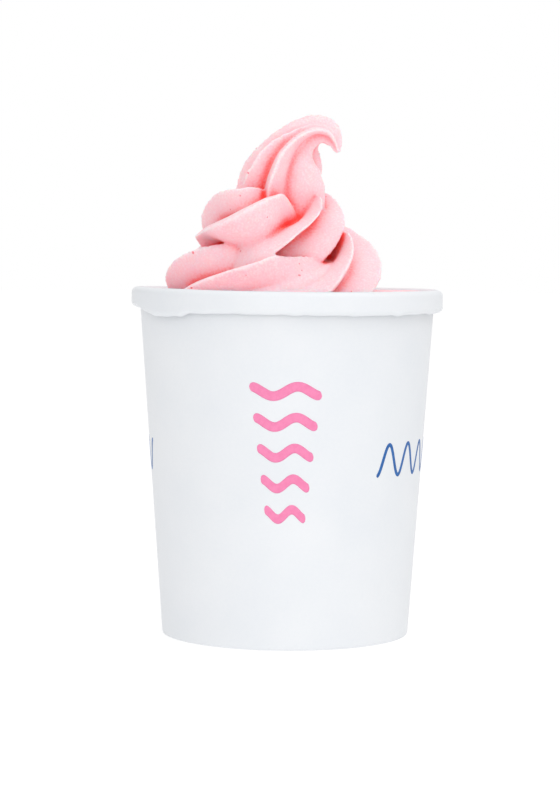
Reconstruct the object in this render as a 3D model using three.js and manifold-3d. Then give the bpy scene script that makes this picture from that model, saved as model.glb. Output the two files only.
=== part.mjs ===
// Frozen yogurt cup: a rolled-rim paper cup filled to the brim, with a two-turn piped swirl
// that is drawn up into a peak and hooks over to one side.
// Lengths are in millimetres, +Z is up, and the cup stands on z = 0 about the Z axis.
import * as THREE from "three";
import { ConvexGeometry } from "three/addons/geometries/ConvexGeometry.js";
import { mergeVertices } from "three/addons/utils/BufferGeometryUtils.js";
import Module from "manifold-3d";

// ---- the paper cup -------------------------------------------------------------------------
const CUP_HEIGHT = 105.5;        // floor it stands on to the top of the rolled rim
const RIM_RADIUS = 47.5;         // outside of the rolled rim
const WALL_TOP_RADIUS = 44.7;    // outside of the wall just below the rim
const WALL_FOOT_RADIUS = 37.7;   // outside of the wall at the floor
const PAPER = 0.7;               // coated board, rounded up so that it is sound as a solid
const ROLL_DROP = 6.8;           // how far the rolled edge reaches down outside the wall
const ROLL_CROWN = 1.9;          // radius of the roll's rounded top on the outside
const LIP_RADIUS = 1.2;          // radius of the roll's inner shoulder
const FOOT_THICK = 1.6;          // folded board at the foot: wall, skirt and turned-in edge
const BASE_RECESS = 7.0;         // underside of the base disc above the floor
const BASE_THICK = 0.8;
const CUP_SEGMENTS = 72;

// ---- the filling ---------------------------------------------------------------------------
const CLEARANCE = 0.3;           // between the filling and the board
const FILL_BELOW_RIM = 0.9;      // level of the filling at the wall, below the top of the rim
const FILL_DOME = 0.7;           // rise of the filling towards the swirl

// ---- the piped rope ------------------------------------------------------------------------
const RIDGES = 6;                // points of the star nozzle
const RIDGE_START = -135;        // direction of the first ridge, degrees from +X
const GROOVE = 0.38;             // groove radius as a share of the ridge radius
const SMEAR = 0.30;              // how much the grooves on the outside of a bend smear shut
const FLANK = 0.64;              // radius half way between ridge and groove, as a share
const CREST_HALF_ANGLE = 4;      // degrees: half the width of the blunt ridge top
const STEP = 3.4;                // spacing of the sections along the rope

// One row a quarter turn: turn angle, radius of the coil, height above the rim, ridge radius,
// sideways shift of the coil, and how far the ridges are turned.
const COIL = [
  [-270, 18.5, -7.0, 14.2, -4.3, -6],
  [-180, 20.5, -0.8, 14.4, -3.8, -7],
  [ -90, 14.0, -1.2, 15.8, -3.0, -1],
  [   0, 19.0,  4.0, 15.2, -4.8, -7],
  [  90, 14.0, 12.5, 14.0, -5.5, -4],
  [ 180,  7.5, 18.5, 14.0, -6.5, -16],
  [ 270,  7.0, 17.0, 17.8, -6.5,  9],
  [ 360,  8.3, 20.5, 14.8, -6.0, -2],
  [ 430,  3.5, 23.5, 13.9, -3.5, -8],
];
// The peak, bottom to tip: x, height above the rim, ridge radius.
const PEAK = [
  [-2.5, 31.1, 13.9], [-2.0, 34.8, 13.2], [-1.2, 38.5, 11.8], [0.0, 42.0, 9.5],
  [2.1, 45.2, 7.4], [4.9, 47.5, 5.8], [8.0, 48.6, 5.2], [10.7, 48.6, 5.1],
  [13.2, 47.7, 4.3], [15.0, 45.4, 2.8], [15.8, 42.5, 0.9],
];
const PEAK_TURN = -12;           // how far the ridges are turned in the peak, degrees

const wasm = await Module();
wasm.setup();

const DEG = Math.PI / 180;
const UP = new THREE.Vector3(0, 0, 1);

// Geometry to solid and back, so that pieces can be joined.
function solidOf(geometry) {
  const bare = new THREE.BufferGeometry();
  bare.setAttribute("position", geometry.getAttribute("position"));
  if (geometry.index) bare.setIndex(geometry.index);
  const merged = mergeVertices(bare, 1e-4);
  return new wasm.Manifold(new wasm.Mesh({
    numProp: 3,
    vertProperties: new Float32Array(merged.getAttribute("position").array),
    triVerts: new Uint32Array(merged.index.array),
  }));
}
function geometryOf(solid) {
  const mesh = solid.getMesh();
  const stride = mesh.numProp;
  const count = mesh.vertProperties.length / stride;
  const position = new Float32Array(count * 3);
  for (let i = 0; i < count; i++)
    for (let axis = 0; axis < 3; axis++)
      position[3 * i + axis] = mesh.vertProperties[stride * i + axis];
  const geometry = new THREE.BufferGeometry();
  geometry.setAttribute("position", new THREE.BufferAttribute(position, 3));
  geometry.setIndex(Array.from(mesh.triVerts));
  geometry.computeVertexNormals();
  return geometry;
}

// Two folds of the skin can touch at a point. Each such point is eased 0.02 mm off along its
// own surface, so that the skin stays one clean closed surface.
function eased(geometry) {
  const position = geometry.getAttribute("position"), normal = geometry.getAttribute("normal");
  const seen = new Map();
  for (let i = 0; i < position.count; i++) {
    const place = [0, 1, 2].map((c) => Math.round(position.array[3 * i + c] * 200)).join();
    const times = seen.get(place) ?? 0;
    seen.set(place, times + 1);
    for (let c = 0; c < 3; c++)
      position.array[3 * i + c] -= 0.02 * times * normal.array[3 * i + c];
  }
  return geometry;
}

// A profile of [radius, height] pairs turned about the Z axis. It starts and ends on the axis.
function turned(profile, segments) {
  const points = profile.map(([r, z]) => new THREE.Vector2(r, z));
  const lathe = new THREE.LatheGeometry(points, segments);
  lathe.rotateX(Math.PI / 2);
  return lathe;
}

// An arc of [radius, height] pairs for a profile.
function arc(r, z, radius, from, to, steps) {
  const points = [];
  for (let i = 0; i <= steps; i++) {
    const a = (from + (to - from) * i / steps) * DEG;
    points.push([r + radius * Math.cos(a), z + radius * Math.sin(a)]);
  }
  return points;
}

// ---- paper cup: one closed profile from the foot, up the outside, round the roll and back -----
function wallRadius(z) {
  return WALL_FOOT_RADIUS + (WALL_TOP_RADIUS - WALL_FOOT_RADIUS) * z / (CUP_HEIGHT - ROLL_DROP);
}
function cupGeometry() {
  const top = CUP_HEIGHT;
  const innerWall = (z) => wallRadius(z) - PAPER;
  const rollInner = innerWall(top);                // inside face of the roll
  const voidIn = rollInner + PAPER;                // outer face of the wall inside the roll
  const voidOut = RIM_RADIUS - PAPER;              // inner face of the roll's outer skin
  const edge = top - ROLL_DROP;                    // level of the roll's free edge
  return turned([
    [0, BASE_RECESS],
    [WALL_FOOT_RADIUS - FOOT_THICK + 0.5, BASE_RECESS],
    [WALL_FOOT_RADIUS - FOOT_THICK, 0],
    [WALL_FOOT_RADIUS, 0],
    [wallRadius(edge), edge],
    // up inside the roll, over under its crown, and down to the free edge
    [voidIn, top - PAPER - 0.7],
    ...arc(voidIn + 0.7, top - PAPER - 0.7, 0.7, 150, 90, 1),
    ...arc(voidOut - 1.0, top - PAPER - 1.0, 1.0, 90, 0, 3),
    [voidOut, edge + 1.4],
    ...arc(RIM_RADIUS - 1.5, edge + 1.4, 0.8, -20, -80, 2),
    // the free edge, turned in under the roll, and up the outside
    ...arc(RIM_RADIUS - 1.5, edge + 1.4, 1.5, -80, 0, 4),
    // over the crown and down the inside of the cup
    ...arc(RIM_RADIUS - ROLL_CROWN, top - ROLL_CROWN, ROLL_CROWN, 0, 90, 5),
    ...arc(rollInner + LIP_RADIUS, top - LIP_RADIUS, LIP_RADIUS, 90, 180, 4),
    [innerWall(BASE_RECESS + BASE_THICK), BASE_RECESS + BASE_THICK],
    [0, BASE_RECESS + BASE_THICK],
  ], CUP_SEGMENTS);
}

// ---- frozen yogurt -------------------------------------------------------------------------
// Smooth values between the rows of a table at the given keys: a cubic through every row.
function between(keys, rows, t) {
  const last = keys.length - 1;
  let i = 0;
  while (i < last - 1 && t > keys[i + 1]) i++;
  const rise = (j, c) => (rows[j + 1][c] - rows[j][c]) / (keys[j + 1] - keys[j]);
  const slope = (k, c) => {
    if (k === 0) return rise(0, c);
    if (k === last) return rise(last - 1, c);
    const before = keys[k] - keys[k - 1], after = keys[k + 1] - keys[k];
    return (rise(k, c) * before + rise(k - 1, c) * after) / (before + after);
  };
  const h = keys[i + 1] - keys[i], u = (t - keys[i]) / h;
  return rows[i].map((_, c) =>
    (2 * u ** 3 - 3 * u ** 2 + 1) * rows[i][c] + (u ** 3 - 2 * u ** 2 + u) * h * slope(i, c) +
    (-2 * u ** 3 + 3 * u ** 2) * rows[i + 1][c] + (u ** 3 - u ** 2) * h * slope(i + 1, c));
}

// The rope's centre line as stations {point, tangent, radius, turn, outward}; outward is the
// direction away from the middle of the coil, and is zero in the peak.
function ropeStations() {
  const keys = COIL.map((row) => row[0]), rows = COIL.map((row) => row.slice(1));
  const marks = [];
  for (let angle = keys[0]; angle <= keys[keys.length - 1]; angle += 10) {
    const [coil, height, radius, shift, turn] = between(keys, rows, angle);
    const a = angle * DEG;
    marks.push([shift + coil * Math.cos(a), coil * Math.sin(a), height, radius, turn,
                Math.cos(a), Math.sin(a)]);
  }
  for (const [x, height, radius] of PEAK) marks.push([x, 0, height, radius, PEAK_TURN, 0, 0]);
  const along = [0];
  for (let i = 1; i < marks.length; i++)
    along.push(along[i - 1] + Math.hypot(...[0, 1, 2].map((c) => marks[i][c] - marks[i - 1][c])));
  const total = along[along.length - 1], count = Math.ceil(total / STEP);
  const at = (s) => between(along, marks, Math.min(Math.max(s, 0), total));
  const stations = [];
  for (let i = 0; i <= count; i++) {
    const s = total * i / count, here = at(s), ahead = at(s + 0.2), behind = at(s - 0.2);
    stations.push({
      point: new THREE.Vector3(here[0], here[1], CUP_HEIGHT + here[2]),
      tangent: new THREE.Vector3(...[0, 1, 2].map((c) => ahead[c] - behind[c])).normalize(),
      radius: here[3],
      turn: here[4],
      outward: new THREE.Vector3(here[5], here[6], 0),
    });
  }
  return stations;
}

// One ridge of the rope at a station: a wedge from the centre line out to the blunt ridge top.
// The nozzle never turns about its own axis, so a section is the flat star swung from straight
// up onto the rope's direction.
function ridgeSection(station, ridge) {
  const swing = new THREE.Quaternion().setFromUnitVectors(UP, station.tangent);
  const directionAt = (degrees) =>
    new THREE.Vector3(Math.cos(degrees * DEG), Math.sin(degrees * DEG), 0).applyQuaternion(swing);
  const pointAt = (degrees, share) =>
    directionAt(degrees).multiplyScalar(station.radius * share).add(station.point);
  const grooveAt = (degrees) => {
    const outside = Math.max(0, directionAt(degrees).dot(station.outward));
    return Math.min(0.9, GROOVE + SMEAR * outside ** 1.5);
  };
  const flank = (groove) => FLANK + (1 - FLANK) * (groove - GROOVE) / (1 - GROOVE);
  const pitch = 360 / RIDGES, middle = RIDGE_START + station.turn + pitch * ridge;
  const left = grooveAt(middle + pitch / 2), right = grooveAt(middle - pitch / 2);
  return [
    station.point.clone(),
    pointAt(middle - pitch / 2, right),
    pointAt(middle - pitch / 4, flank(right)),
    pointAt(middle - CREST_HALF_ANGLE, 0.99),
    pointAt(middle + CREST_HALF_ANGLE, 0.99),
    pointAt(middle + pitch / 4, flank(left)),
    pointAt(middle + pitch / 2, left),
  ];
}

function yogurtGeometry() {
  const floor = BASE_RECESS + BASE_THICK + CLEARANCE;
  const level = CUP_HEIGHT - FILL_BELOW_RIM;
  const inside = (z) => wallRadius(z) - PAPER - CLEARANCE;
  const fill = solidOf(turned([
    [0, floor],
    [inside(floor), floor],
    [inside(level), level],
    [inside(level) - 6, level + FILL_DOME],
    [0, level + FILL_DOME],
  ], CUP_SEGMENTS));

  const stations = ropeStations();
  const lengths = [];
  for (let i = 0; i + 1 < stations.length; i++)
    for (let ridge = 0; ridge < RIDGES; ridge++)
      lengths.push(solidOf(new ConvexGeometry([
        ...ridgeSection(stations[i], ridge), ...ridgeSection(stations[i + 1], ridge)])));
  // Rope that has sunk below the level of the filling is part of the filling already.
  const rope = wasm.Manifold.union(lengths).trimByPlane([0, 0, 1], level - 3);
  const joined = wasm.Manifold.union([fill, rope]).simplify(0.12);
  // Closed pockets between the turns are yogurt too: keep only the outside skin.
  const shells = joined.decompose().sort((a, b) => b.volume() - a.volume());
  return eased(geometryOf(shells[0]));
}

function named(name, geometry, colour) {
  const mesh = new THREE.Mesh(geometry, new THREE.MeshStandardMaterial({ color: colour }));
  mesh.name = name;
  return mesh;
}

const part = new THREE.Group();
part.add(
  named("paper_cup", cupGeometry(), 0xf2f3f5),
  named("frozen_yogurt", yogurtGeometry(), 0xf8c7ce),
);

export default part;
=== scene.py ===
# %% [markdown]
# # A frozen yogurt cup
# The real object has two parts. A paper cup with a rolled rim holds the portion, and pink frozen
# yogurt fills it to the brim. The machine's star nozzle then pipes one thick ridged rope on top:
# a wide turn, a smaller turn, and a peak that is drawn up and flops over to one side.
# Everything here is made by rules with named sizes, in the same frame as the solid model.

# %% Load the solid model as a fixed frame
import math

import bmesh
import bpy
import numpy as np
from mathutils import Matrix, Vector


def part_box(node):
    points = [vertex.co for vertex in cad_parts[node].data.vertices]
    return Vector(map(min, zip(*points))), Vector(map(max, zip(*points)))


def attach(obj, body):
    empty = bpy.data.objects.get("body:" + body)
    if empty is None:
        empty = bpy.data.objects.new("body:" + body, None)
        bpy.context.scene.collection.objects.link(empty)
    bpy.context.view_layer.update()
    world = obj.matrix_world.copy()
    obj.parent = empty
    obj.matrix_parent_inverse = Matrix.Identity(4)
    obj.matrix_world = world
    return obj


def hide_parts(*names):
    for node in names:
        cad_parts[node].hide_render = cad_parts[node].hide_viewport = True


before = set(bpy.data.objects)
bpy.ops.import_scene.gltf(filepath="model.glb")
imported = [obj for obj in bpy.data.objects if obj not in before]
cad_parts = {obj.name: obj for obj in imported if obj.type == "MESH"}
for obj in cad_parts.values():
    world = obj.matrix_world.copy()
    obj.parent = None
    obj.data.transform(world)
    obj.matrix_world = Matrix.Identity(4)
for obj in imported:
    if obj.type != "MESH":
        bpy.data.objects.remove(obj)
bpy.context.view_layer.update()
MM = 0.001

# %% [markdown]
# ## Camera
# The cup is seen almost level, from a little above its rim and three quarters of a metre away.
# A long lens at that distance keeps the cup's sides nearly straight. The camera is rolled by a
# fraction of a degree, because the cup leans that little bit in the view.

# %% Place the camera
CUP_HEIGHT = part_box("paper_cup")[1][2]
CAMERA_AWAY = 0.750  # metres
CAMERA_ABOVE_RIM = 0.012
CAMERA_ASIDE = -0.0023
CAMERA_PITCH = -3.52  # degrees
CAMERA_ROLL = -0.4
LENS = 110.25  # millimetres
SENSOR_WIDTH = 36

camera_data = bpy.data.cameras.new("camera")
camera_data.lens = LENS
camera_data.sensor_width = SENSOR_WIDTH
camera_data.clip_start = 0.05
camera = bpy.data.objects.new("camera", camera_data)
bpy.context.scene.collection.objects.link(camera)
camera.location = (CAMERA_ASIDE, -CAMERA_AWAY, CUP_HEIGHT + CAMERA_ABOVE_RIM)
camera.rotation_euler = (math.radians(90 + CAMERA_PITCH), math.radians(CAMERA_ROLL), 0)
bpy.context.scene.camera = camera
print("camera at", [round(c, 3) for c in camera.location])

# %% [markdown]
# ## Helpers
# A node tree is easier to read when each rule is one line. These helpers add a node, wire its
# inputs and give back its output, so a formula can be written almost as it is on paper.

# %% Helpers: nodes
def add(tree, kind, inputs=(), **settings):
    """Adds a node. inputs maps a socket's name or number to a value or to another output."""
    node = tree.nodes.new(kind)
    for key, value in settings.items():
        setattr(node, key, value)
    for key, value in dict(inputs).items():
        enabled = [s for s in node.inputs if s.enabled]
        socket = enabled[key] if isinstance(key, int) else next(
            s for s in enabled if s.name == key)
        if isinstance(value, bpy.types.NodeSocket):
            tree.links.new(value, socket)
        else:
            socket.default_value = value
    return node


def out(node, name=0):
    """One of a node's outputs, by name or number."""
    enabled = [s for s in node.outputs if s.enabled]
    return enabled[name] if isinstance(name, int) else next(s for s in enabled if s.name == name)


def calc(tree, operation, *values):
    """The result of one Math node."""
    return out(add(tree, "ShaderNodeMath", enumerate(values), operation=operation))


def vector(tree, operation, *values):
    """The result of one Vector Math node."""
    return out(add(tree, "ShaderNodeVectorMath", enumerate(values), operation=operation))


def combine(tree, **values):
    """A vector from its X, Y and Z."""
    return out(add(tree, "ShaderNodeCombineXYZ", values))


def position(tree):
    """Where each point is."""
    return out(add(tree, "GeometryNodeInputPosition"))


def attribute(tree, name, kind="FLOAT"):
    """The values of a named attribute."""
    return out(add(tree, "GeometryNodeInputNamedAttribute", {"Name": name}, data_type=kind))

# %% Helpers: trees and pieces
def new_tree(name, sockets):
    """A Geometry Nodes tree with the named inputs given, and its two end nodes."""
    tree = bpy.data.node_groups.new(name, "GeometryNodeTree")
    tree.interface.new_socket("Geometry", in_out="INPUT", socket_type="NodeSocketGeometry")
    for label, kind, value in sockets:
        socket = tree.interface.new_socket(label, in_out="INPUT", socket_type="NodeSocket" + kind)
        if value is not None:
            socket.default_value = value
    tree.interface.new_socket("Geometry", in_out="OUTPUT", socket_type="NodeSocketGeometry")
    return tree, tree.nodes.new("NodeGroupInput"), tree.nodes.new("NodeGroupOutput")


def end_tree(tree, geometry, material, result):
    """Ends a tree in Realize Instances and Set Material."""
    real = out(add(tree, "GeometryNodeRealizeInstances", {0: geometry}))
    painted = out(add(tree, "GeometryNodeSetMaterial", {"Geometry": real, "Material": material}))
    tree.links.new(painted, result.inputs[0])


def use_tree(piece, tree, **values):
    """Puts the tree on the piece and sets its named inputs by their identifiers."""
    modifier = piece.modifiers.new(tree.name, "NODES")
    modifier.node_group = tree
    for item in tree.interface.items_tree:
        key = item.name.lower().replace(" ", "_")
        if item.in_out == "INPUT" and key in values:
            modifier[item.identifier] = values[key]


def put(name, mesh):
    """A new object for a mesh, in the scene, with its place in the mesh."""
    piece = bpy.data.objects.new(name, mesh)
    bpy.context.scene.collection.objects.link(piece)
    return piece


def baked(piece):
    """The piece with its modifiers turned into plain smooth mesh."""
    depsgraph = bpy.context.evaluated_depsgraph_get()
    mesh = bpy.data.meshes.new_from_object(piece.evaluated_get(depsgraph))
    piece.modifiers.clear()
    piece.data = mesh
    mesh.shade_smooth()
    mesh.calc_loop_triangles()
    print(f"{piece.name}: {len(mesh.loop_triangles)} triangles")
    return piece


def done(piece, replaced=None):
    """Hangs the finished piece under the root body, and hides the solid part it replaces, if any.
    """
    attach(piece, "root")
    if replaced:
        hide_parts(replaced)

# %% [markdown]
# ## Materials
# ### Frozen yogurt
# Frozen yogurt is a foam of ice, milk and air. Light goes a few millimetres into it, and
# subsurface scattering lets some of it glow through thin ridges and into the folds. The rest of
# the pale ridges and deeper pink folds is painted: two attributes measured on the finished rope,
# how deep in a fold and how sharp a crest a place is, paint the folds darker as painted shade and
# the crests paler as a painted highlight, and fine noise gives the slightly icy grain.

# %% Helpers: materials
def new_material(name):
    """A material with one Principled shader, and its tree and shader."""
    material = bpy.data.materials.new(name)
    material.use_nodes = True
    tree = material.node_tree
    tree.nodes.clear()
    shader = add(tree, "ShaderNodeBsdfPrincipled")
    add(tree, "ShaderNodeOutputMaterial", {"Surface": shader.outputs[0]})
    return material, tree, shader


def tint(red, green, blue):
    """A screen colour from 0 to 255 as the linear colour that shaders take."""
    return tuple(((c / 255 + 0.055) / 1.055) ** 2.4 if c > 10 else c / 255 / 12.92
                 for c in (red, green, blue)) + (1.0,)


def ramp(tree, factor, stops):
    """A colour ramp from (place, colour) stops."""
    node = add(tree, "ShaderNodeValToRGB", {"Fac": factor})
    elements = node.color_ramp.elements
    while len(elements) < len(stops):
        elements.new(0.5)
    for element, (place, colour) in zip(elements, stops):
        element.position = place
        element.color = colour
    return node.outputs["Color"]


def noise(tree, size, detail=2.0, roughness=0.5):
    """Noise on object coordinates, with lumps about this big in metres."""
    place = add(tree, "ShaderNodeTexCoord").outputs["Object"]
    return add(tree, "ShaderNodeTexNoise", {
        "Vector": place, "Scale": 0.5 / size, "Detail": detail,
        "Roughness": roughness}).outputs["Fac"]


def bump(tree, shader, height, strength, distance):
    """Gives the shader a bump from a height."""
    node = add(tree, "ShaderNodeBump", {
        "Strength": strength, "Distance": distance, "Height": height})
    tree.links.new(node.outputs[0], shader.inputs["Normal"])

# %% Frozen yogurt
yogurt, tree, shader = new_material("pink_yogurt")
fold = add(tree, "ShaderNodeAttribute", attribute_name="fold").outputs["Fac"]
crest = add(tree, "ShaderNodeAttribute", attribute_name="crest").outputs["Fac"]
mottle = calc(tree, "MULTIPLY_ADD", noise(tree, 2.5 * MM, 3), 0.10, -0.05)
flecks = calc(tree, "MULTIPLY_ADD", noise(tree, 0.3 * MM, 2), 0.40, -0.20)
# Painted shade and highlight: fold depth moves the colour towards darker, redder pink, and crest
# sharpness moves it back towards pale pink.
FOLD_PAINTED_SHADE = 1.35
CREST_PAINTED_HIGHLIGHT = -1.1
OPEN_SKIN = 0.13  # where plain skin lies on the colour ramp
depth = calc(tree, "ADD", calc(tree, "MULTIPLY_ADD", crest, CREST_PAINTED_HIGHLIGHT, calc(
    tree, "MULTIPLY", fold, FOLD_PAINTED_SHADE)), calc(tree, "ADD", mottle, flecks))
# The ramp runs from the pale painted highlight on crests, through plain skin, to the red painted
# shade deep in folds.
colour = ramp(tree, calc(tree, "ADD", depth, OPEN_SKIN), [
    (0.00, tint(254, 228, 232)), (0.12, tint(253, 213, 219)), (0.32, tint(253, 196, 203)),
    (0.55, tint(252, 158, 162)), (0.85, tint(253, 104, 98))])
tree.links.new(colour, shader.inputs["Base Color"])
shader.inputs["Roughness"].default_value = 0.8
shader.inputs["Subsurface Weight"].default_value = 0.6
shader.inputs["Subsurface Radius"].default_value = (1.0, 0.08, 0.06)
shader.inputs["Subsurface Scale"].default_value = 6.0 * MM
shader.inputs["Specular IOR Level"].default_value = 0.1
grain = calc(tree, "MULTIPLY_ADD", noise(tree, 1.1 * MM, 2), 0.5, noise(tree, 0.35 * MM, 4, 0.65))
bump(tree, shader, grain, 0.6, 0.15 * MM)
print("made", yogurt.name)

# %% [markdown]
# ### Coated paper
# The cup is white board with a thin plastic coat, so it has a soft sheen. Faint mottling and a
# fine fibre bump keep it from looking like solid plastic.

# %% Coated paper
paper, tree, shader = new_material("coated_paper")
fibre = noise(tree, 0.5 * MM, 5, 0.7)
cloud = noise(tree, 11 * MM, 2)
shade = calc(tree, "MULTIPLY_ADD", fibre, 0.35, calc(tree, "MULTIPLY", cloud, 0.65))
colour = ramp(tree, shade, [(0.35, tint(227, 230, 234)), (0.65, tint(232, 234, 237))])
tree.links.new(colour, shader.inputs["Base Color"])
gloss = add(tree, "ShaderNodeMapRange", {"Value": cloud, "To Min": 0.36, "To Max": 0.50})
tree.links.new(gloss.outputs[0], shader.inputs["Roughness"])
shader.inputs["Specular IOR Level"].default_value = 0.35
bump(tree, shader, fibre, 0.1, 0.05 * MM)
print("made", paper.name)

# %% [markdown]
# ### Printing inks and fruit
# The two inks lie under the same coat as the paper, and a slight unevenness in their colour is
# what real printing shows. The specks are bits of fruit, moist and darker than the yogurt.

# %% Inks and fruit
def uneven(name, light, dark, size, roughness):
    """A plain finish whose colour wanders between two tones."""
    material, tree, shader = new_material(name)
    colour = ramp(tree, noise(tree, size, 4, 0.6), [(0.4, dark), (0.6, light)])
    tree.links.new(colour, shader.inputs["Base Color"])
    shader.inputs["Roughness"].default_value = roughness
    shader.inputs["Specular IOR Level"].default_value = 0.3
    return material


pink_ink = uneven("pink_ink", tint(241, 137, 180), tint(237, 129, 173), 0.7 * MM, 0.42)
blue_ink = uneven("blue_ink", tint(44, 104, 172), tint(34, 92, 160), 0.7 * MM, 0.42)
fruit = uneven("fruit_speck", tint(246, 158, 166), tint(238, 134, 143), 0.4 * MM, 0.35)
print("made", [m.name for m in (pink_ink, blue_ink, fruit)])

# %% [markdown]
# ## The piped rope
# ### Its centre line
# The nozzle goes round almost twice while it rises, closing in on the middle. Then the rope is
# drawn straight up out of the middle and flops over. The coil and the peak get a centre line
# each: a short table gives the line at a few places, and a smooth curve through the rows gives
# every point between. Besides its place, each point carries the rope's radius, which way is
# outward from the coil, and the direction and length of each of the six ridges. Soft yogurt
# drags and is pressed down by the turn above, so some ridges wander or shrink on their way.

# %% Sizes of the coil
RIDGES = 6
FIRST_RIDGE = -135  # its direction in degrees from +X
# turn angle, coil radius, height above the rim, ridge radius, sideways shift, ridge turn;
# in degrees and mm
COIL = [
    (-310, 17.5, -13.0, 7.0, -4.3, -6),
    (-270, 18.5, -8.0, 13.0, -4.3, -6),
    (-180, 20.3, -0.8, 14.2, -3.8, -7),
    (-90, 14.0, -1.2, 15.8, -3.0, -1),
    (0, 19.0, 4.0, 15.2, -4.8, -7),
    (90, 14.0, 12.5, 14.0, -5.5, -4),
    (180, 7.5, 18.5, 14.0, -6.5, -16),
    (270, 7.5, 17.0, 17.8, -6.5, 9),
    (300, 7.9, 17.5, 17.2, -6.3, 7),
    (360, 8.9, 19.4, 14.4, -5.6, -2),
    (420, 6.0, 19.5, 13.0, -4.5, -2),
    (480, 3.0, 17.0, 10.0, -3.0, -2),
]
# For some ridges, (turn angle, value) pairs: length as a share of the ridge radius, and degrees
# by which the ridge wanders from its place in the star.
COIL_LENGTH = {
    0: [(-90, 1), (-75, 0.86), (-60, 0.72), (-45, 0.6), (-20, 0.5), (60, 0.6), (150, 1),
        (176, 1), (186, 1.14), (196, 1.02), (258, 1), (268, 0.94), (282, 0.84), (298, 0.76),
        (320, 0.6), (345, 0.4)],
    1: [(130, 1), (180, 0.85), (230, 0.9), (265, 1), (300, 1), (330, 0.92), (350, 0.8),
        (365, 0.6), (400, 0.5), (480, 0.5)],
    2: [(380, 1), (420, 0.7), (480, 0.6)],
    4: [(200, 1), (240, 0.8), (300, 0.6)],
    5: [(150, 1), (180, 0.93), (210, 0.93), (240, 0.87), (270, 0.68), (300, 0.5)],
}
COIL_WANDER = {
    0: [(-150, 4), (-110, 4), (-80, 0)],
    1: [(-100, 0), (-75, 14), (-50, 14), (-20, 0), (0, -4), (40, 0), (270, 0), (300, 0), (330, 6)],
}
# Half width of a ridge in degrees, where it isn't half the way to its neighbour.
COIL_WIDTH = {
    0: [(220, 30), (260, 36), (285, 44), (320, 48)],
    1: [(-90, 30), (-60, 20), (0, 20), (60, 30), (220, 28), (250, 20), (285, 15)],
}
# The groove after each ridge: how much of the smearing on the outside of the bend it takes.
COIL_SMEAR = {
    0: [(130, 1), (165, 0.5), (185, 0.2), (210, 0.4), (235, 1), (260, 1.1), (280, 0.8), (305, 0)],
    1: [(-60, 1), (-20, 0.4), (60, 0.4), (250, 1), (290, 0.35), (400, 0.35)],
    5: [(-200, 0), (-140, 0.3), (-100, 1), (120, 1), (160, 0), (215, 0.2), (250, 1)],
}
# And by how much it lies lower than the others, as a share of the ridge radius.
COIL_DIP = {0: [(270, 0), (300, 0.24)], 1: [(270, 0), (300, 0.1)]}
COIL_ANGLE_STEP = 10.0  # degrees between the marks laid out on the coil
COIL_SPACING = 0.7  # mm between the points of the finished centre line

# %% Sizes of the peak
# sideways place, place back from the middle, height above the rim, ridge radius; in mm
PEAK = [
    (-2.6, 2.0, 14.0, 13.5), (-2.6, 2.0, 20.0, 13.8), (-2.6, 1.5, 26.0, 13.9),
    (-2.5, 1.0, 31.1, 13.7), (-1.9, 0.5, 34.8, 13.0), (-0.8, 0.0, 38.5, 11.4),
    (0.6, 0.0, 41.6, 9.4), (2.6, 0.0, 44.4, 7.6), (5.2, 0.0, 46.7, 6.2),
    (7.8, 0.0, 48.0, 5.5), (10.2, 0.0, 48.0, 5.1), (12.3, 0.0, 47.2, 4.3),
    (13.9, 0.0, 45.2, 3.0), (15.3, 0.0, 41.5, 0.8),
]
PEAK_TURN = -12  # degrees
PEAK_SPACING = 0.4
# As for the coil, but counted along the rows of the table.
PEAK_LENGTH = {
    0: [(3, 1), (5, 0.96), (6, 0.88), (7.5, 0.66), (9, 0.5)],
    2: [(2, 1.02), (4, 1.06), (6, 1.06), (7, 0.9), (8, 0.85)],
    3: [(4, 1), (5.5, 1.3), (7, 1.7), (9, 1.8), (10, 1)],
    5: [(3, 1), (5, 0.94), (8, 0.95), (10, 1)],
}
PEAK_WANDER = {
    0: [(3, 2), (5, 8), (8, 10)],
    1: [(3, -17), (5, -14), (7, -9), (9, -2)],
    2: [(3, 14)],
    5: [(3, 10)],
}
PEAK_WIDTH = {2: [(0, 56), (5, 56), (7, 34)], 5: [(5.5, 30), (8.5, 58)]}

# %% Lay out a centre line
def between(keys, rows, wanted):
    """Values on a smooth curve through the rows, whose keys rise."""
    keys, rows, wanted = (np.asarray(a, dtype=float) for a in (keys, rows, wanted))
    gaps = np.diff(keys)[:, None]
    rises = np.diff(rows, axis=0) / gaps
    inner = (rises[1:] * gaps[:-1] + rises[:-1] * gaps[1:]) / (gaps[1:] + gaps[:-1])
    slopes = np.vstack([rises[:1], inner, rises[-1:]])
    i = np.clip(np.searchsorted(keys, wanted, side="right") - 1, 0, len(keys) - 2)
    h = gaps[i]
    u = (wanted - keys[i])[:, None] / h
    return ((2 * u**3 - 3 * u**2 + 1) * rows[i] + (u**3 - 2 * u**2 + u) * h * slopes[i]
            + (3 * u**2 - 2 * u**3) * rows[i + 1] + (u**3 - u**2) * h * slopes[i + 1])


def ridge_table(places, pairs_by_ridge, usual):
    """One column a ridge: its value at each place, straight between the pairs given."""
    return np.column_stack([
        np.interp(places, *zip(*pairs_by_ridge[k])) if k in pairs_by_ridge
        else np.full(len(places), float(usual)) for k in range(RIDGES)])


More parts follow.
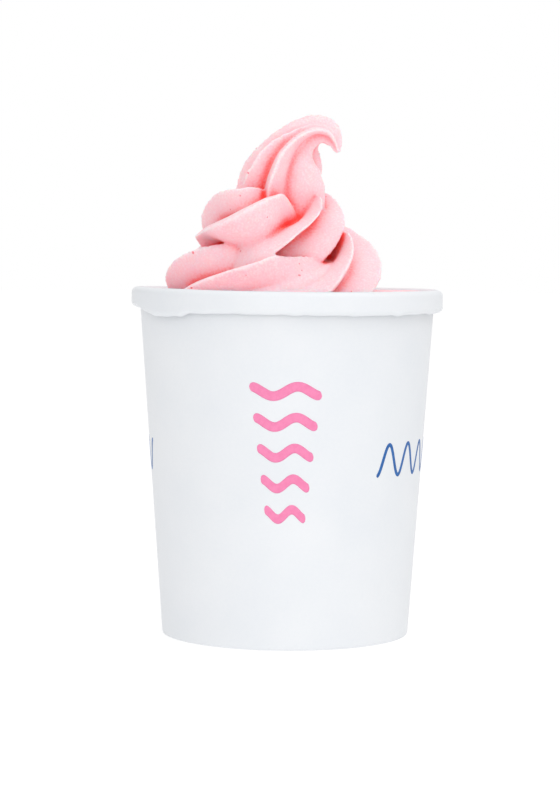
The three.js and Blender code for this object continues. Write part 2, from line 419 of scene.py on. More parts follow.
def centre_line(name, marks, turns, places, spacing, wander=(), length=(), width=(), smear=(),
                dip=()):
    """A chain of points along the marks (x, y, z, radius, outward x, outward y; in mm), with
    what the rope's skin needs to know kept as attributes."""
    ridge_angles = (FIRST_RIDGE + 360 / RIDGES * np.arange(RIDGES) + np.asarray(turns)[:, None]
                    + ridge_table(places, wander, 0))
    tables = {"angle": np.radians(ridge_angles), "length": ridge_table(places, length, 1),
              "width": np.radians(ridge_table(places, width, 180 / RIDGES)),
              "smear": ridge_table(places, smear, 1), "dip": ridge_table(places, dip, 0)}
    rows = np.hstack([marks, *tables.values()])
    run = np.concatenate([[0], np.cumsum(np.linalg.norm(np.diff(rows[:, :3], axis=0), axis=1))])
    count = int(run[-1] / spacing)
    line = between(run, rows, np.linspace(0, run[-1], count))
    mesh = bpy.data.meshes.new(name)
    mesh.from_pydata([(x * MM, y * MM, z * MM + CUP_HEIGHT) for x, y, z in line[:, :3]],
                     [(i, i + 1) for i in range(count - 1)], [])
    kept = {"rope_radius": line[:, 3] * MM}
    for t, what in enumerate(tables):
        for k in range(RIDGES):
            kept[f"ridge_{what}_{k}"] = line[:, 6 + RIDGES * t + k]
    for key, values in kept.items():
        mesh.attributes.new(key, "FLOAT", "POINT").data.foreach_set("value", values)
    outward = np.column_stack([line[:, 4:6], np.zeros(count)])
    mesh.attributes.new("outward", "FLOAT_VECTOR", "POINT").data.foreach_set(
        "vector", outward.ravel())
    print(f"{name}: {run[-1]:.0f} mm long, {count} points")
    return put(name, mesh)

# %% Lay out the coil and the peak
coil = np.array(COIL, dtype=float)
angles = np.arange(coil[0, 0], coil[-1, 0] + 1, COIL_ANGLE_STEP)
coil = between(coil[:, 0], coil[:, 1:], angles)
east, north = np.cos(np.radians(angles)), np.sin(np.radians(angles))
coil_marks = np.column_stack([coil[:, 3] + coil[:, 0] * east, coil[:, 0] * north, coil[:, 1],
                              coil[:, 2], east, north])
coil_rope = centre_line("coil", coil_marks, coil[:, 4], angles, COIL_SPACING,
                        wander=COIL_WANDER, length=COIL_LENGTH, width=COIL_WIDTH,
                        smear=COIL_SMEAR, dip=COIL_DIP)
peak_marks = np.array([row + (0, 0) for row in PEAK], dtype=float)
peak_rope = centre_line("peak", peak_marks, np.full(len(PEAK), PEAK_TURN), np.arange(len(PEAK)),
                        PEAK_SPACING, wander=PEAK_WANDER, length=PEAK_LENGTH,
                        width=PEAK_WIDTH)

# %% [markdown]
# ### Its ridged skin
# The nozzle never turns about its own axis. A section of the rope is therefore always the same
# star, swung over from straight up to the rope's direction, and that alone makes the ridges wind
# round the coil and run straight up the peak. The tree lays a grid round and along the centre
# line and moves each of its points out to the star. Grooves on the outside of a bend are smeared
# nearly shut, because there the rope is stretched.

# %% Tree: the grid and the centre line under it
rope_tree, given, result = new_tree("ridged rope", [
    ("Groove", "Float", 0.38), ("Smear", "Float", 0.30), ("Sharpness", "Float", 1.25),
    ("Ridge Round", "Float", 0.05), ("Lowest", "Float", 0.1), ("Around", "Int", 300),
    ("Along", "Int", 700), ("Material", "Material", None)])
tree = rope_tree
path = out(add(tree, "GeometryNodeMeshToCurve", {"Mesh": out(given, "Geometry")}))
grid = add(tree, "GeometryNodeMeshGrid", {
    "Size X": 1.0, "Size Y": 1.0, "Vertices X": out(given, "Around"),
    "Vertices Y": out(given, "Along")})
spot = add(tree, "ShaderNodeSeparateXYZ", {0: position(tree)})
share = calc(tree, "ADD", out(spot, "Y"), 0.5)
angle = calc(tree, "MULTIPLY", out(spot, "X"), 2 * math.pi)


def on_path(name, kind="FLOAT"):
    """Samples the centre line, and one of its attributes, beside each grid point."""
    return add(tree, "GeometryNodeSampleCurve", {
        "Curves": path, "Value": attribute(tree, name, kind), "Factor": share},
        mode="FACTOR", data_type=kind)


beside = on_path("rope_radius")
radius, centre, ahead = (out(beside, name) for name in ("Value", "Position", "Tangent"))
outward = out(on_path("outward", "FLOAT_VECTOR"), "Value")

# %% Tree: swing each direction of the flat star onto the rope
flat = combine(tree, X=calc(tree, "COSINE", angle), Y=calc(tree, "SINE", angle))
swing = out(add(tree, "FunctionNodeAlignRotationToVector", {"Vector": ahead}, axis="Z",
                pivot_axis="AUTO"))
direction = out(add(tree, "FunctionNodeRotateVector", {"Vector": flat, "Rotation": swing}))
stretch = calc(tree, "POWER", calc(tree, "MAXIMUM", vector(
    tree, "DOT_PRODUCT", direction, outward), 0.0), 1.5)
smear = calc(tree, "MULTIPLY", stretch, out(given, "Smear"))
SHALLOWEST_GROOVE = 0.9


def groove_after(k):
    """The level of the groove between a ridge and the next one."""
    share_of_smear = out(on_path(f"ridge_smear_{k}"), "Value")
    base = calc(tree, "SUBTRACT", out(given, "Groove"), out(on_path(f"ridge_dip_{k}"), "Value"))
    return calc(tree, "MINIMUM", calc(tree, "MULTIPLY_ADD", smear, share_of_smear, base),
                SHALLOWEST_GROOVE)


grooves = [groove_after(k) for k in range(RIDGES)]

# %% Tree: the six ridges
# A ridge falls away on both sides of its direction and is usually gone half way to its
# neighbour. Its top is rounded off by adding a small round to the distance, so it is no knife
# edge.
blunt = out(given, "Ridge Round")
blunt_squared = calc(tree, "MULTIPLY", blunt, blunt)
farthest = calc(tree, "SUBTRACT", calc(tree, "SQRT", calc(tree, "ADD", 1.0, blunt_squared)), blunt)
reach = 0.0
for k in range(RIDGES):
    off = calc(tree, "WRAP", calc(
        tree, "SUBTRACT", angle, out(on_path(f"ridge_angle_{k}"), "Value")), math.pi, -math.pi)
    after = calc(tree, "GREATER_THAN", off, 0.0)
    groove = calc(tree, "MULTIPLY_ADD", after, calc(tree, "SUBTRACT", grooves[k], grooves[k - 1]),
                  grooves[k - 1])
    near_enough = calc(tree, "LESS_THAN", calc(tree, "ABSOLUTE", off), 2 * math.pi / RIDGES)
    aside = calc(tree, "MINIMUM", calc(tree, "DIVIDE", calc(tree, "ABSOLUTE", off), out(
        on_path(f"ridge_width_{k}"), "Value")), 1.0)
    rounded = calc(tree, "SUBTRACT", calc(tree, "SQRT", calc(
        tree, "MULTIPLY_ADD", aside, aside, blunt_squared)), blunt)
    height = calc(tree, "POWER", calc(tree, "MAXIMUM", calc(
        tree, "SUBTRACT", 1.0, calc(tree, "DIVIDE", rounded, farthest)), 0.0),
        out(given, "Sharpness"))
    above_groove = calc(tree, "SUBTRACT", out(on_path(f"ridge_length_{k}"), "Value"), groove)
    reach = calc(tree, "MAXIMUM", reach, calc(tree, "MULTIPLY", near_enough, calc(
        tree, "MULTIPLY_ADD", above_groove, height, groove)))

# %% Tree: move the grid out to the star
# The first and last rings close to a point, and nothing sinks below the filling's surface.
inside = calc(tree, "MULTIPLY", calc(tree, "GREATER_THAN", share, 0.0),
              calc(tree, "LESS_THAN", share, 1.0))
skin = vector(tree, "ADD", centre, vector(tree, "SCALE", direction, calc(
    tree, "MULTIPLY", calc(tree, "MULTIPLY", radius, reach), inside)))
axes = add(tree, "ShaderNodeSeparateXYZ", {0: skin})
rested = combine(tree, X=out(axes, "X"), Y=out(axes, "Y"),
                 Z=calc(tree, "MAXIMUM", out(axes, "Z"), out(given, "Lowest")))
moved = out(add(tree, "GeometryNodeSetPosition", {
    "Geometry": out(grid, "Mesh"), "Position": rested}))
closed = out(add(tree, "GeometryNodeMergeByDistance", {"Geometry": moved, "Distance": 0.001 * MM}))
end_tree(tree, closed, out(given, "Material"), result)
print(f"{rope_tree.name}: {len(rope_tree.nodes)} nodes")

# %% [markdown]
# ### One soft mass
# The turns of the rope lie on and into each other. A voxel remesh joins coil and peak into one
# closed skin, with the seams between them as narrow as the voxels. A plain cone inside fills the
# hollow that nobody can see. What is left inside is dropped, and the flat underside becomes one
# face.

# %% Join the coil and the peak
SWIRL_FOOT = CUP_HEIGHT - 1.7 * MM
VOXEL = 0.32 * MM
CORE_FOOT_RADIUS = 20 * MM
CORE_TOP_RADIUS = 3 * MM
CORE_HEIGHT = 28 * MM
CORE_ASIDE = -2.0 * MM


def shells(shape):
    """The faces of a bmesh in connected groups, the largest first."""
    left, groups = set(shape.faces), []
    while left:
        group, edge_of = [], [left.pop()]
        while edge_of:
            face = edge_of.pop()
            group.append(face)
            for edge in face.edges:
                for other in edge.link_faces:
                    if other in left:
                        left.discard(other)
                        edge_of.append(other)
        groups.append(group)
    return sorted(groups, key=len, reverse=True)


use_tree(coil_rope, rope_tree, lowest=SWIRL_FOOT, material=yogurt)
use_tree(peak_rope, rope_tree, lowest=SWIRL_FOOT, groove=0.42, along=360, material=yogurt)
mass = bmesh.new()
for rope in (baked(coil_rope), baked(peak_rope)):
    mass.from_mesh(rope.data)
    bpy.data.objects.remove(rope)
core = bmesh.ops.create_cone(mass, cap_ends=True, segments=48, radius1=CORE_FOOT_RADIUS,
                             radius2=CORE_TOP_RADIUS, depth=CORE_HEIGHT)
bmesh.ops.translate(mass, verts=core["verts"], vec=(
    CORE_ASIDE, 0, SWIRL_FOOT + CORE_HEIGHT / 2))
mesh = bpy.data.meshes.new("yogurt_swirl")
mass.to_mesh(mesh)
mass.free()
swirl = put("yogurt_swirl", mesh)
remesh = swirl.modifiers.new("one skin", "REMESH")
remesh.mode = "VOXEL"
remesh.voxel_size = VOXEL
baked(swirl)

# %% Drop what is inside and close the underside with one face
UNDERSIDE = SWIRL_FOOT + 0.3 * VOXEL
mass = bmesh.new()
mass.from_mesh(swirl.data)
hidden = [face for group in shells(mass)[1:] for face in group]
hidden += [face for face in mass.faces if max(v.co.z for v in face.verts) < UNDERSIDE]
bmesh.ops.delete(mass, geom=list(set(hidden)), context="FACES")
bmesh.ops.holes_fill(mass, edges=[e for e in mass.edges if e.is_boundary], sides=0)
bmesh.ops.recalc_face_normals(mass, faces=mass.faces)
mass.to_mesh(swirl.data)
print(f"underside closed; {len(mass.faces)} faces, {sum(e.is_boundary for e in mass.edges)} "
      "open edges")
mass.free()

# %% [markdown]
# ### Its folds and crests
# A second tree smooths the skin and measures it. For each point it looks out along fixed
# directions and counts how many are blocked close by, which is how deep in a fold the point
# lies. It also compares each point with the average place of its neighbours, which tells a crest
# from a crease. The material paints shade into the folds from the first and a highlight onto
# the crests from the second.

# %% Tree: smooth the skin and find its crests
skin_tree, given, result = new_tree("measured skin", [
    ("Smoothing", "Int", 1), ("Rays", "Int", 40), ("Look", "Float", 7 * MM),
    ("Lift", "Float", 0.3 * MM), ("Crest Size", "Int", 6), ("Unevenness", "Float", 0.10 * MM),
    ("Raggedness", "Float", 1.8 * MM), ("Material", "Material", None)])
tree = skin_tree


def blurred(value, times, kind):
    """The value averaged with its neighbours' the given number of times."""
    return out(add(tree, "GeometryNodeBlurAttribute", {"Value": value, "Iterations": times},
                   data_type=kind))


def stored(geometry, name, value):
    """The geometry with the value kept as an attribute."""
    return out(add(tree, "GeometryNodeStoreNamedAttribute", {
        "Geometry": geometry, "Name": name, "Value": value}, data_type="FLOAT", domain="POINT"))


here = position(tree)
normal = out(add(tree, "GeometryNodeInputNormal"))
smooth = out(add(tree, "GeometryNodeSetPosition", {
    "Geometry": out(given, "Geometry"),
    "Position": blurred(here, out(given, "Smoothing"), "FLOAT_VECTOR")}))
bulge = vector(tree, "DOT_PRODUCT", normal, vector(
    tree, "SUBTRACT", here, blurred(here, out(given, "Crest Size"), "FLOAT_VECTOR")))
with_crest = stored(smooth, "crest", calc(tree, "DIVIDE", bulge, 1 * MM))


def lumps(size):
    """Noise from -0.5 to 0.5 with lumps about this big."""
    return calc(tree, "SUBTRACT", out(add(tree, "ShaderNodeTexNoise", {
        "Vector": here, "Scale": 0.5 / size, "Detail": 3.0})), 0.5)


# The skin is a little uneven everywhere, and ragged where a crest tore as it was piped.
SHARPEST_CREST = 0.4
on_crest = calc(tree, "MINIMUM", calc(tree, "MAXIMUM", attribute(tree, "crest"), 0.0),
                SHARPEST_CREST)
ragged_by = calc(tree, "MULTIPLY", calc(tree, "MULTIPLY", lumps(1.1 * MM), on_crest), calc(
    tree, "MULTIPLY", out(given, "Raggedness"), 5.0))
uneven_by = calc(tree, "MULTIPLY", lumps(0.8 * MM), calc(
    tree, "MULTIPLY", out(given, "Unevenness"), 2.0))
rough = out(add(tree, "GeometryNodeSetPosition", {
    "Geometry": with_crest, "Offset": vector(tree, "SCALE", normal, calc(
        tree, "ADD", uneven_by, ragged_by))}))
start = stored(rough, "blocked", 0.0)

# %% Tree: count the blocked directions, one direction each time round
loop_in = tree.nodes.new("GeometryNodeRepeatInput")
loop_out = tree.nodes.new("GeometryNodeRepeatOutput")
loop_in.pair_with_output(loop_out)
if not loop_out.repeat_items:
    loop_out.repeat_items.new("GEOMETRY", "Geometry")
tree.links.new(out(given, "Rays"), loop_in.inputs["Iterations"])
tree.links.new(start, loop_in.inputs["Geometry"])
GOLDEN_TURN = math.pi * (3 - math.sqrt(5))
ray = loop_in.outputs["Iteration"]
up = calc(tree, "SQRT", calc(tree, "SUBTRACT", 1.0, calc(
    tree, "DIVIDE", calc(tree, "ADD", ray, 0.5), out(given, "Rays"))))
side = calc(tree, "SQRT", calc(tree, "SUBTRACT", 1.0, calc(tree, "MULTIPLY", up, up)))
swept = calc(tree, "MULTIPLY", ray, GOLDEN_TURN)
aim = combine(tree, X=calc(tree, "MULTIPLY", side, calc(tree, "COSINE", swept)),
              Y=calc(tree, "MULTIPLY", side, calc(tree, "SINE", swept)), Z=up)
tilt = out(add(tree, "FunctionNodeAlignRotationToVector", {"Vector": normal}, axis="Z"))
look = add(tree, "GeometryNodeRaycast", {
    "Target Geometry": loop_in.outputs["Geometry"],
    "Source Position": vector(tree, "ADD", here, vector(tree, "SCALE", normal, out(given, "Lift"))),
    "Ray Direction": out(add(tree, "FunctionNodeRotateVector", {"Vector": aim, "Rotation": tilt})),
    "Ray Length": out(given, "Look")})
closeness = calc(tree, "SUBTRACT", 1.0, calc(
    tree, "DIVIDE", out(look, "Hit Distance"), out(given, "Look")))
hit = calc(tree, "MULTIPLY", out(look, "Is Hit"), closeness)
share_hit = calc(tree, "DIVIDE", hit, out(given, "Rays"))
counted = stored(loop_in.outputs["Geometry"], "blocked",
                 calc(tree, "ADD", attribute(tree, "blocked"), share_hit))
tree.links.new(counted, loop_out.inputs["Geometry"])
# The blurred count is the fold depth, from which the yogurt's colour paints shade.
measured = stored(loop_out.outputs["Geometry"], "fold", blurred(attribute(tree, "blocked"), 3,
                                                                "FLOAT"))
end_tree(tree, measured, out(given, "Material"), result)
print(f"{skin_tree.name}: {len(skin_tree.nodes)} nodes")

# %% Finish the swirl
use_tree(swirl, skin_tree, material=yogurt, rays=40)
MOST_TRIANGLES = 190000  # the remesh makes more of them than the shape needs
thin = swirl.modifiers.new("fewer faces where flat", "DECIMATE")
thin.ratio = min(1.0, MOST_TRIANGLES / (2 * len(swirl.data.polygons)))
baked(swirl)
for name in ("fold", "crest"):
    values = np.empty(len(swirl.data.vertices))
    swirl.data.attributes[name].data.foreach_get("value", values)
    print(name, "from", [round(float(np.percentile(values, p)), 3) for p in (1, 25, 50, 75, 99)])
done(swirl, "frozen_yogurt")

# %% [markdown]
# ## The filling
# Below the rope the cup is simply full of yogurt. Its hidden sides follow the cup's wall with a
# hair of clearance, and its top is a shallow dome that is slightly uneven, as it settles from the
# machine. It is one closed shape turned about the cup's axis, and the unevenness is worked out
# point by point.

# %% Sizes of the cup and its filling, in mm
RIM_RADIUS = 47.5  # outside of the rolled rim
WALL_TOP_RADIUS = 44.7  # outside of the wall just below the roll
WALL_FOOT_RADIUS = 37.7
PAPER = 0.7
ROLL_DROP = 6.8  # how far the roll reaches down outside the wall
ROLL_CROWN = 1.9  # radius of its rounded top on the outside
ROLL_CURL = 1.5  # radius of its free edge, which curls under
CURL_UP = 1.4  # middle of that curl above the free edge
LIP_RADIUS = 1.2  # radius of its inner shoulder
FOOT_THICK = 1.6
BASE_RECESS = 7.0
BASE_THICK = 0.8
CLEARANCE = 0.08  # between the filling and the paper
FILL_BELOW_RIM = 0.9
FILL_EDGE = 0.9  # radius of the filling's edge
FILL_DOME = 0.7
CUP_TOP = CUP_HEIGHT / MM


def wall_radius(z):
    """Outside radius of the cup's wall at a height, in mm."""
    return WALL_FOOT_RADIUS + (WALL_TOP_RADIUS - WALL_FOOT_RADIUS) * z / (CUP_TOP - ROLL_DROP)


def turned(name, profile_at, angles, material):
    """A closed shape turned about the Z axis. profile_at(angle) gives its outline in mm, from
    the axis at one end to the axis at the other, with the same number of points each time."""
    shape = bmesh.new()
    rings = []
    for angle in angles:
        c, s = math.cos(angle), math.sin(angle)
        rings.append([shape.verts.new((r * c * MM, r * s * MM, z * MM))
                      for r, z in profile_at(angle)])
    for one, two in zip(rings, rings[1:] + rings[:1]):
        for k in range(len(one) - 1):
            shape.faces.new((one[k], two[k], two[k + 1], one[k + 1]))
    bmesh.ops.remove_doubles(shape, verts=shape.verts, dist=0.001 * MM)
    bmesh.ops.recalc_face_normals(shape, faces=shape.faces)
    mesh = bpy.data.meshes.new(name)
    shape.to_mesh(mesh)
    shape.free()
    mesh.materials.append(material)
    mesh.shade_smooth()
    piece = put(name, mesh)
    mesh.calc_loop_triangles()
    print(f"{name}: {len(mesh.loop_triangles)} triangles")
    return piece

# %% Make the filling
def settled(r, angle):
    """How far the filling's top stands off a smooth dome, in mm."""
    lull = min(1.0, (r / 20) ** 2)
    return lull * (0.18 * math.sin(3 * angle + 0.7) + 0.12 * math.sin(7 * angle + 2.1 + r / 9)
                   + 0.07 * math.sin(13 * angle - r / 5))


def filling_at(angle):
    """The filling's outline at an angle, in mm."""
    bottom = BASE_RECESS + BASE_THICK + CLEARANCE
    top = CUP_TOP - FILL_BELOW_RIM
    edge = wall_radius(top) - PAPER - CLEARANCE
    points = [(0, bottom), (wall_radius(bottom) - PAPER - CLEARANCE, bottom)]
    points += [(wall_radius(z) - PAPER - CLEARANCE, z) for z in (40, 70, top - 2.0)]
    points += [(edge - FILL_EDGE * (1 - math.cos(a)), top - FILL_EDGE + FILL_EDGE * math.sin(a))
               for a in (0.4, 0.8, 1.2)]
    for r in (42.4, 41, 39, 36, 33, 30, 27, 24, 20, 15, 10, 5):
        points.append((r, top + FILL_DOME * (1 - (r / edge) ** 2) + settled(r, angle)))
    return points + [(0, top + FILL_DOME)]


ROUND = [2 * math.pi * i / 192 for i in range(192)]
filling = turned("yogurt_filling", filling_at, ROUND, yogurt)
# A small fixed fold depth gives the filling a little painted shade, and no painted crest highlight.
for name, value in (("fold", 0.05), ("crest", 0.0)):
    values = np.full(len(filling.data.vertices), value)
    filling.data.attributes.new(name, "FLOAT", "POINT").data.foreach_set("value", values)
done(filling, "frozen_yogurt")

# %% [markdown]
# ## The paper cup
# A paper cup is a flat blank wrapped into a cone and lapped at a seam, a disc set into its foot,
# and a rim made by rolling the top edge outwards. The roll stiffens the cup and is kind to the
# lip. Turning one closed outline about the axis gives all of it. The roll's free edge is never
# even: it dips and rises where the paper gathered, so the outline is asked for at each angle.

# %% Make the cup
SEAM_AT = math.radians(97)
SEAM_PROUD = 0.35
SEAM_FADE = math.radians(30)
FRONT = -math.pi / 2
# Degrees from the front and how much lower than usual the roll's free edge hangs there, in mm:
# a fold of paper that hangs out on the left, and small nubs where the paper gathered.
SAG = [(-180, 0), (-90, -0.9), (-72, -0.6), (-65, 0.5), (-57, 1.5), (-50, 1.3), (-42, 1.2),
       (-38, 0.1), (-20, -0.1), (90, 0), (140, 0.3), (180, 0)]
NUBS = [(2, 0.25), (25, 0.3), (44, 0.5), (67, 0.4), (118, 0.4), (-128, 0.35)]
NUB_WIDTH = 2.2


def from_front(angle):
    """The same angle in degrees from the front, counted to the right, from -180 to 180."""
    return (math.degrees(angle - FRONT) + 180) % 360 - 180


def near(angle, place, width):
    """1 at a place on the rim, falling to 0 about a width away; both in degrees from the front,
    counted to the right."""
    off = (from_front(angle) - place + 180) % 360 - 180
    return math.exp(-(off / width) ** 2)


def free_edge(angle):
    """How much lower than usual the roll's free edge hangs here, in mm."""
    gathered = 0.08 * math.sin(5 * angle + 0.6) + 0.07 * math.sin(17 * angle) \
        + 0.05 * math.sin(41 * angle + 1.0)
    nubs = sum(size * near(angle, place, NUB_WIDTH) for place, size in NUBS)
    return gathered + nubs + float(np.interp(from_front(angle), *zip(*SAG)))


def rim_rise(angle):
    """How much higher than flat the whole roll stands here, in mm."""
    return 0.5 * near(angle, -75, 45) - 0.2 * near(angle, 15, 50)


def seam(angle):
    """How far the lapped blank stands off the plain cone here, in mm."""
    behind = (angle - SEAM_AT) % (2 * math.pi)
    return SEAM_PROUD * max(0.0, 1 - behind / SEAM_FADE)


def arc(r, z, radius, start, end, steps):
    """Points on an arc of the outline."""
    turns = [math.radians(start + (end - start) * i / steps) for i in range(steps + 1)]
    return [(r + radius * math.cos(t), z + radius * math.sin(t)) for t in turns]


def cup_at(angle):
    """The cup's outline at an angle, in mm: from under the bottom round the foot, up the wall,
    up inside the roll, down and back up outside it, over the rim and down the inside."""
    top = CUP_TOP + rim_rise(angle)
    base_top = BASE_RECESS + BASE_THICK
    foot_inside = WALL_FOOT_RADIUS - FOOT_THICK
    shoulder = wall_radius(CUP_TOP) - PAPER
    void_in, void_out = shoulder + PAPER, RIM_RADIUS - PAPER
    curl = top - ROLL_DROP - free_edge(angle) + CURL_UP
    lap = seam(angle)
    wall = [(wall_radius(z) + lap, z) for z in (0.45, 1.0, 3, 7, 20, 40, 60, 80, 90, 95)]
    return [
        (0, BASE_RECESS), (foot_inside, BASE_RECESS), (foot_inside, 0.3),
        (WALL_FOOT_RADIUS - 1.3, 0), (WALL_FOOT_RADIUS - 0.4, 0),
        (WALL_FOOT_RADIUS - 0.1 + lap, 0.12),
        *wall, (wall_radius(97.5) + lap / 2, 97.5),
        (void_in, top - PAPER - 0.7),
        *arc(void_in + 0.7, top - PAPER - 0.7, 0.7, 150, 90, 2),
        *arc(void_out - 1.0, top - PAPER - 1.0, 1.0, 90, 0, 4),
        (void_out, curl),
        *arc(RIM_RADIUS - ROLL_CURL, curl, ROLL_CURL - PAPER, -20, -80, 3),
        *arc(RIM_RADIUS - ROLL_CURL, curl, ROLL_CURL, -80, 0, 8),
        *[(RIM_RADIUS, curl + (ROLL_DROP - ROLL_CROWN - CURL_UP) * k / 3) for k in (1, 2)],
        *arc(RIM_RADIUS - ROLL_CROWN, top - ROLL_CROWN, ROLL_CROWN, 0, 90, 10),
        *arc(shoulder + LIP_RADIUS, top - LIP_RADIUS, LIP_RADIUS, 90, 180, 8),
        (wall_radius(base_top) - PAPER, base_top), (0, base_top),
    ]


CUP_ROUND = sorted([2 * math.pi * i / 384 for i in range(384)] + [SEAM_AT - 0.004, SEAM_AT])
cup = turned("cup", cup_at, CUP_ROUND, paper)
cup.data.set_sharp_from_angle(angle=math.radians(50))
done(cup, "paper_cup")

# %% [markdown]
# ## The print
# The print is plain waves: a stack of pink ones at the front, and one long blue wave that runs
# round the back from side to side. A wave is a grid of faces shaped while it is flat, repeated in
# a stack, and then laid on the cup: each point is sent in towards the axis until it meets the
# paper. That way the ink follows the cone and its seam exactly.

# %% Tree: one flat wave
wave_tree, given, result = new_tree("printed waves", [
    ("Cup", "Object", None), ("Strokes", "Int", 1), ("Length", "Float", 20 * MM),
    ("Waves", "Float", 2.0), ("Wave Height", "Float", 2 * MM), ("Stroke", "Float", 3 * MM),
    ("Spacing", "Float", 8 * MM), ("Taper", "Float", 0.0), ("Middle Height", "Float", 50 * MM),
    ("Middle Angle", "Float", FRONT), ("Steps", "Int", 121), ("Proud", "Float", 0.05 * MM),
    ("Material", "Material", None)])
tree = wave_tree
sheet = out(add(tree, "GeometryNodeMeshGrid", {
    "Size X": 1.0, "Size Y": 1.0, "Vertices X": out(given, "Steps"), "Vertices Y": 7}), "Mesh")
spot = add(tree, "ShaderNodeSeparateXYZ", {0: position(tree)})
length = out(given, "Length")
phase = calc(tree, "MULTIPLY", out(spot, "X"), calc(
    tree, "MULTIPLY", out(given, "Waves"), 2 * math.pi))
rise = calc(tree, "MULTIPLY", calc(tree, "SINE", phase), out(given, "Wave Height"))
slope = calc(tree, "MULTIPLY", calc(tree, "COSINE", phase), calc(
    tree, "DIVIDE", calc(tree, "MULTIPLY", out(given, "Wave Height"), calc(
        tree, "MULTIPLY", out(given, "Waves"), 2 * math.pi)), length))
lean = calc(tree, "SQRT", calc(tree, "MULTIPLY_ADD", slope, slope, 1.0))
# The stroke's ends are half round.
half = calc(tree, "MULTIPLY", out(given, "Stroke"), 0.5)
from_end = calc(tree, "MULTIPLY", calc(tree, "SUBTRACT", 0.5, calc(
    tree, "ABSOLUTE", out(spot, "X"))), calc(tree, "MULTIPLY", length, lean))
short = calc(tree, "SUBTRACT", 1.0, calc(tree, "MINIMUM", calc(
    tree, "DIVIDE", from_end, half), 1.0))
cap = calc(tree, "SQRT", calc(tree, "SUBTRACT", 1.0001, calc(tree, "MULTIPLY", short, short)))
across = calc(tree, "MULTIPLY", calc(tree, "MULTIPLY", out(spot, "Y"), 2.0), calc(
    tree, "DIVIDE", calc(tree, "MULTIPLY", half, cap), lean))
flat_wave = out(add(tree, "GeometryNodeSetPosition", {
    "Geometry": sheet, "Position": combine(
        tree, X=calc(tree, "SUBTRACT", calc(tree, "MULTIPLY", out(spot, "X"), length),
                     calc(tree, "MULTIPLY", slope, across)),
        Y=calc(tree, "ADD", rise, across))}))

# %% Tree: stack the waves and lay them on the cup
first = calc(tree, "MULTIPLY", calc(tree, "SUBTRACT", out(given, "Strokes"), 1.0), 0.5)
rows = out(add(tree, "GeometryNodeMeshLine", {
    "Count": out(given, "Strokes"),
    "Start Location": combine(tree, Y=calc(tree, "MULTIPLY", first, out(given, "Spacing"))),
    "Offset": combine(tree, Y=calc(tree, "MULTIPLY", out(given, "Spacing"), -1.0))},
    mode="OFFSET"))
row = out(add(tree, "GeometryNodeInputIndex"))
narrower = calc(tree, "SUBTRACT", 1.0, calc(tree, "MULTIPLY", out(given, "Taper"), row))
stack = out(add(tree, "GeometryNodeInstanceOnPoints", {
    "Points": rows, "Instance": flat_wave,
    "Scale": combine(tree, X=narrower, Y=1.0, Z=1.0)}))
stack = out(add(tree, "GeometryNodeRealizeInstances", {0: stack}))
spot = add(tree, "ShaderNodeSeparateXYZ", {0: position(tree)})
MEAN_RADIUS = wall_radius(CUP_TOP / 2) * MM
angle = calc(tree, "ADD", out(given, "Middle Angle"), calc(
    tree, "DIVIDE", out(spot, "X"), MEAN_RADIUS))
level = calc(tree, "ADD", out(given, "Middle Height"), out(spot, "Y"))
away = combine(tree, X=calc(tree, "COSINE", angle), Y=calc(tree, "SINE", angle))
lift = combine(tree, Z=level)
cup_shape = out(add(tree, "GeometryNodeObjectInfo", {"Object": out(given, "Cup")}), "Geometry")
OUTSIDE_THE_CUP = 60 * MM
landing = add(tree, "GeometryNodeRaycast", {
    "Target Geometry": cup_shape,
    "Source Position": vector(tree, "ADD", lift, vector(tree, "SCALE", away, OUTSIDE_THE_CUP)),
    "Ray Direction": vector(tree, "SCALE", away, -1.0), "Ray Length": OUTSIDE_THE_CUP})
printed = out(add(tree, "GeometryNodeSetPosition", {
    "Geometry": stack, "Position": vector(tree, "ADD", out(landing, "Hit Position"), vector(
        tree, "SCALE", away, out(given, "Proud")))}))
end_tree(tree, printed, out(given, "Material"), result)
print(f"{wave_tree.name}: {len(wave_tree.nodes)} nodes")

# %% Print the waves
INK = 0.09 * MM


def print_waves(name, material, **sizes):
    """A piece of print, with a thin body of ink that reaches just into the paper."""
    piece = put(name, bpy.data.meshes.new(name))
    use_tree(piece, wave_tree, cup=cup, material=material, **sizes)
    body = piece.modifiers.new("ink body", "SOLIDIFY")
    body.thickness = INK
    body.offset = -1
    baked(piece)
    done(piece)


print_waves(
    "front_waves", pink_ink, strokes=5, length=20.5 * MM, waves=1.5, wave_height=1.4 * MM,
    stroke=2.8 * MM, spacing=9.0 * MM, taper=0.1, middle_height=58.5 * MM,
    middle_angle=FRONT - math.radians(0.5))
print_waves(
    "back_wave", blue_ink, strokes=1, length=178 * MM, waves=18.5, wave_height=4.6 * MM,
    stroke=1.1 * MM, middle_height=55.5 * MM, middle_angle=FRONT + math.pi - math.radians(17),
    steps=901)

# %% [markdown]
# ## Fruit specks
# The yogurt is flavoured with fruit, and tiny bits of it show in the surface. The tree scatters
# points over the swirl with a fixed seed and puts a small flattened bead at each, half sunk in.

# %% Tree: specks
speck_tree, given, result = new_tree("fruit specks", [
    ("Surface", "Object", None), ("Per Square Metre", "Float", 4000.0), ("Seed", "Int", 4),
    ("Smallest", "Float", 0.15 * MM), ("Largest", "Float", 0.55 * MM),
    ("Material", "Material", None)])
tree = speck_tree
surface = out(add(tree, "GeometryNodeObjectInfo", {"Object": out(given, "Surface")}), "Geometry")
scatter = add(tree, "GeometryNodeDistributePointsOnFaces", {
    "Mesh": surface, "Density": out(given, "Per Square Metre"), "Seed": out(given, "Seed")})
bead = out(add(tree, "GeometryNodeMeshUVSphere", {"Segments": 8, "Rings": 5, "Radius": 1.0}))
bead = out(add(tree, "GeometryNodeTransform", {"Geometry": bead, "Scale": (1.0, 0.7, 0.2)}))
twist = out(add(tree, "FunctionNodeRandomValue", {
    "Min": 0.0, "Max": 2 * math.pi, "Seed": out(given, "Seed")}, data_type="FLOAT"))
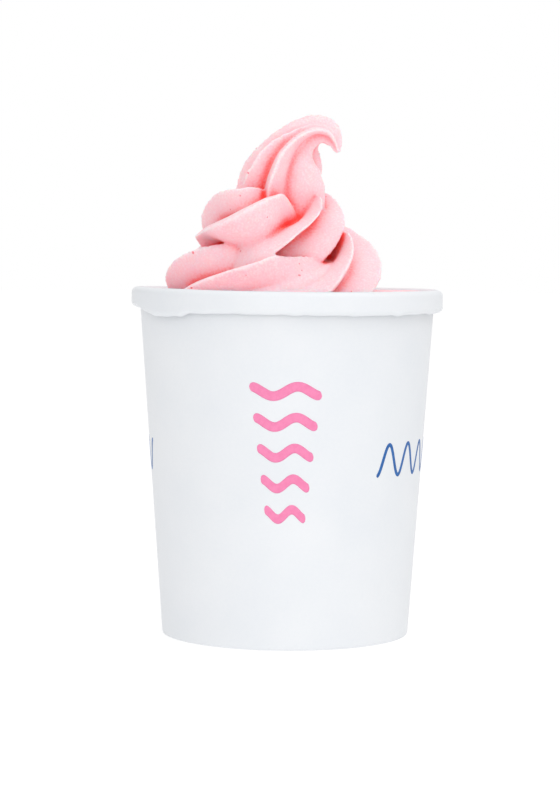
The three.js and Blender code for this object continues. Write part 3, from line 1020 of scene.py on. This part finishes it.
laid = out(add(tree, "FunctionNodeRotateRotation", {
    "Rotation": out(scatter, "Rotation"), "Rotate By": out(add(
        tree, "FunctionNodeAxisAngleToRotation", {"Axis": (0, 0, 1), "Angle": twist}))},
    rotation_space="LOCAL"))
size = out(add(tree, "FunctionNodeRandomValue", {
    "Min": out(given, "Smallest"), "Max": out(given, "Largest"), "Seed": 9}, data_type="FLOAT"))
specks = out(add(tree, "GeometryNodeInstanceOnPoints", {
    "Points": out(scatter, "Points"), "Instance": bead, "Rotation": laid, "Scale": size}))
end_tree(tree, specks, out(given, "Material"), result)

fruit_specks = put("fruit_specks", bpy.data.meshes.new("fruit_specks"))
use_tree(fruit_specks, speck_tree, surface=swirl, material=fruit)
baked(fruit_specks)
done(fruit_specks)

# %% [markdown]
# ## Floor and light
# A white floor, a white surrounding and two large soft lights, in front and above, give the
# even, almost shadowless light of a product studio. Less light comes from the sides than from
# the front and the back, so the cup still looks round.

# %% Floor
FLOOR_RADIUS = 6.0
FLOOR_GAP = 0.1 * MM  # keeps the floor from touching the cup's foot
floor_shape = bmesh.new()
bmesh.ops.create_circle(floor_shape, cap_ends=True, segments=96, radius=FLOOR_RADIUS)
bmesh.ops.translate(floor_shape, verts=floor_shape.verts, vec=(0, 0, -FLOOR_GAP))
mesh = bpy.data.meshes.new("floor")
floor_shape.to_mesh(mesh)
floor_shape.free()
floor = put("floor", mesh)
floor_white, tree, shader = new_material("floor_white")
shader.inputs["Base Color"].default_value = (0.25, 0.25, 0.25, 1)
shader.inputs["Roughness"].default_value = 0.9
shader.inputs["Specular IOR Level"].default_value = 0.0
shader.inputs["Emission Color"].default_value = (1, 1, 1, 1)
shader.inputs["Emission Strength"].default_value = 0.80
mesh.materials.append(floor_white)
print("floor at", floor.bound_box[0][2])

# %% Surroundings and lights
world = bpy.data.worlds.new("white room")
bpy.context.scene.world = world
world.use_nodes = True
tree = world.node_tree
tree.nodes.clear()
seen = add(tree, "ShaderNodeLightPath").outputs["Is Camera Ray"]
direction = add(tree, "ShaderNodeTexCoord").outputs["Generated"]
sideways = calc(tree, "ABSOLUTE", out(add(tree, "ShaderNodeSeparateXYZ", {0: direction}), "X"))
AHEAD_LIGHT = 0.98
SIDE_LOSS = -0.52
unseen = calc(tree, "MULTIPLY_ADD", calc(tree, "POWER", sideways, 2.0), SIDE_LOSS, AHEAD_LIGHT)
strength = calc(tree, "ADD", calc(tree, "MULTIPLY", seen, calc(
    tree, "SUBTRACT", 1.0, unseen)), unseen)
sky = add(tree, "ShaderNodeBackground", {"Color": (1, 1, 1, 1), "Strength": strength})
add(tree, "ShaderNodeOutputWorld", {"Surface": sky.outputs[0]})


def softbox(name, place, aim, size, power):
    """A square area light at a place, facing another. Sizes in metres, power in watts."""
    data = bpy.data.lights.new(name, "AREA")
    data.shape = "SQUARE"
    data.size = size
    data.energy = power
    light = bpy.data.objects.new(name, data)
    bpy.context.scene.collection.objects.link(light)
    light.location = place
    away = np.array(place) - np.array(aim)
    light.rotation_euler = (math.atan2(math.hypot(away[0], away[1]), away[2]), 0,
                            math.atan2(away[0], -away[1]))


MIDDLE = (0, 0, 0.09)
SOFTBOX = 0.8
softbox("front", (0.0, -1.3, 0.35), MIDDLE, SOFTBOX, 2.8)
softbox("above", (0.45, -0.25, 1.15), MIDDLE, SOFTBOX, 3.2)
bpy.context.scene.view_settings.view_transform = "Standard"
